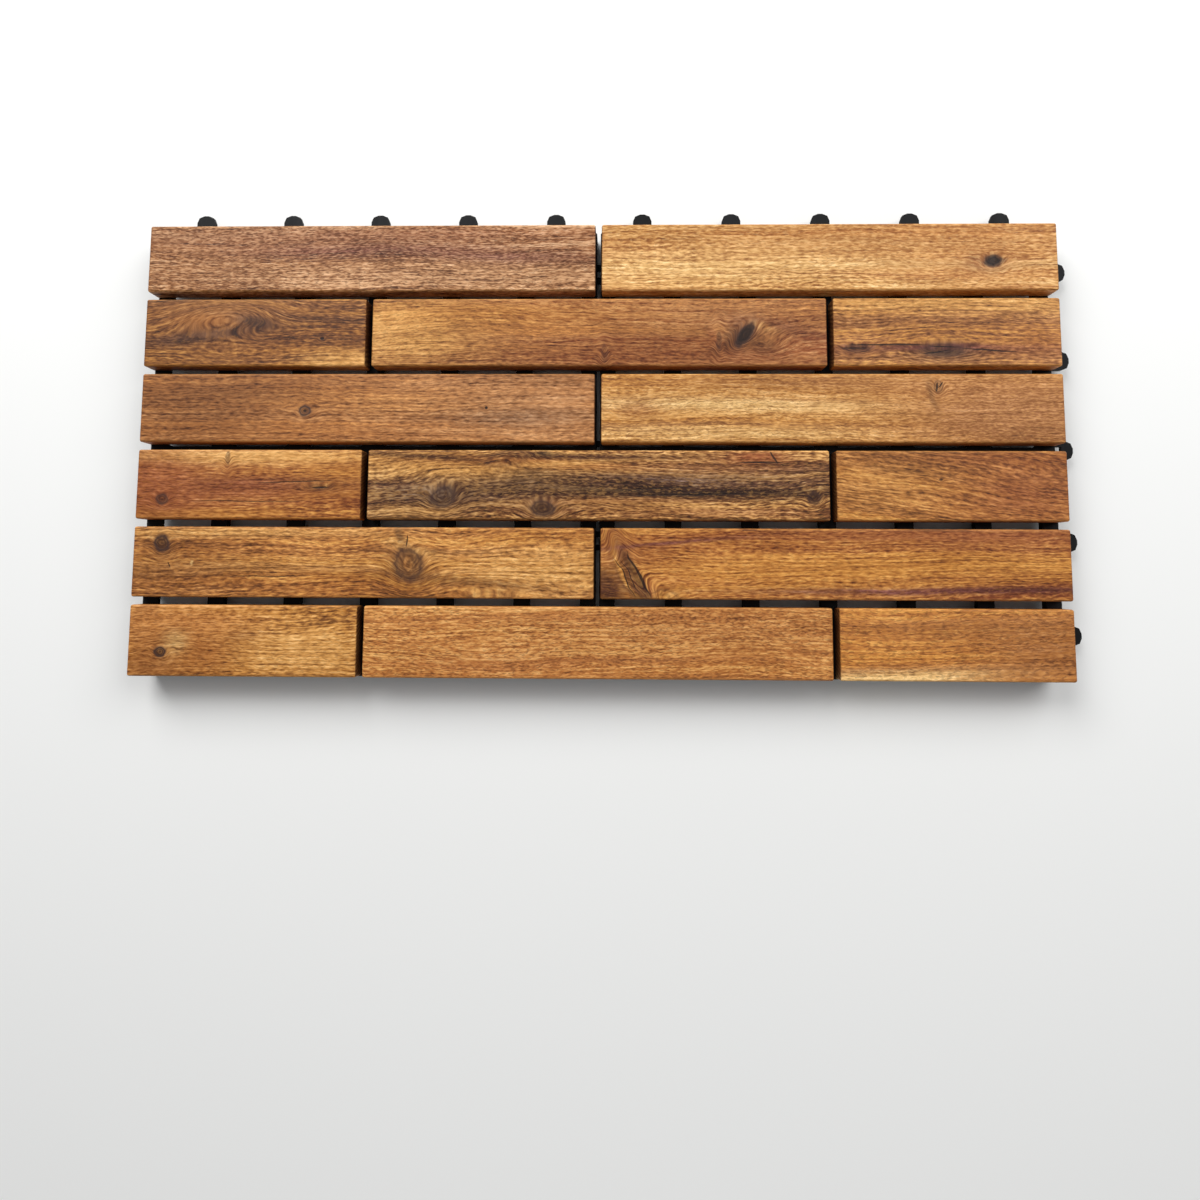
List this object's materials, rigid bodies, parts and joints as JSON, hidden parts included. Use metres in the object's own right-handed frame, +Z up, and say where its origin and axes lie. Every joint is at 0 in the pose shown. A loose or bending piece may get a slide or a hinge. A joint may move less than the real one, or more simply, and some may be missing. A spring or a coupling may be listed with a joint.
{
  "type": "interlocking deck tile",
  "caption": "Oblong deck tile: oiled hardwood slats in staggered rows, screwed to black moulded lattice bases with feet, and loops and pegs that hook into the next tile.",
  "frame": {"origin": "bottom centre of the box round the whole tile, loops included", "axes": "+X along the slats, towards the looped end; +Y across the rows, towards the looped side; +Z up, wood on top"},
  "size_m": [0.6086, 0.3096, 0.024],
  "materials": {
    "wood": "oiled",
    "plastic": "matte",
    "steel": "zinc plated"
  },
  "bodies": {
    "root": {"slat_row1_left": "wood", "slat_row1_right": "wood", "slat_row2_left": "wood", "slat_row2_middle": "wood", "slat_row2_right": "wood", "slat_row3_left": "wood", "slat_row3_right": "wood", "slat_row4_left": "wood", "slat_row4_middle": "wood", "slat_row4_right": "wood", "slat_row5_left": "wood", "slat_row5_right": "wood", "slat_row6_left": "wood", "slat_row6_middle": "wood", "slat_row6_right": "wood", "base_left": "plastic", "base_right": "plastic", "slat_screws": "steel"}
  },
  "joints": []
}
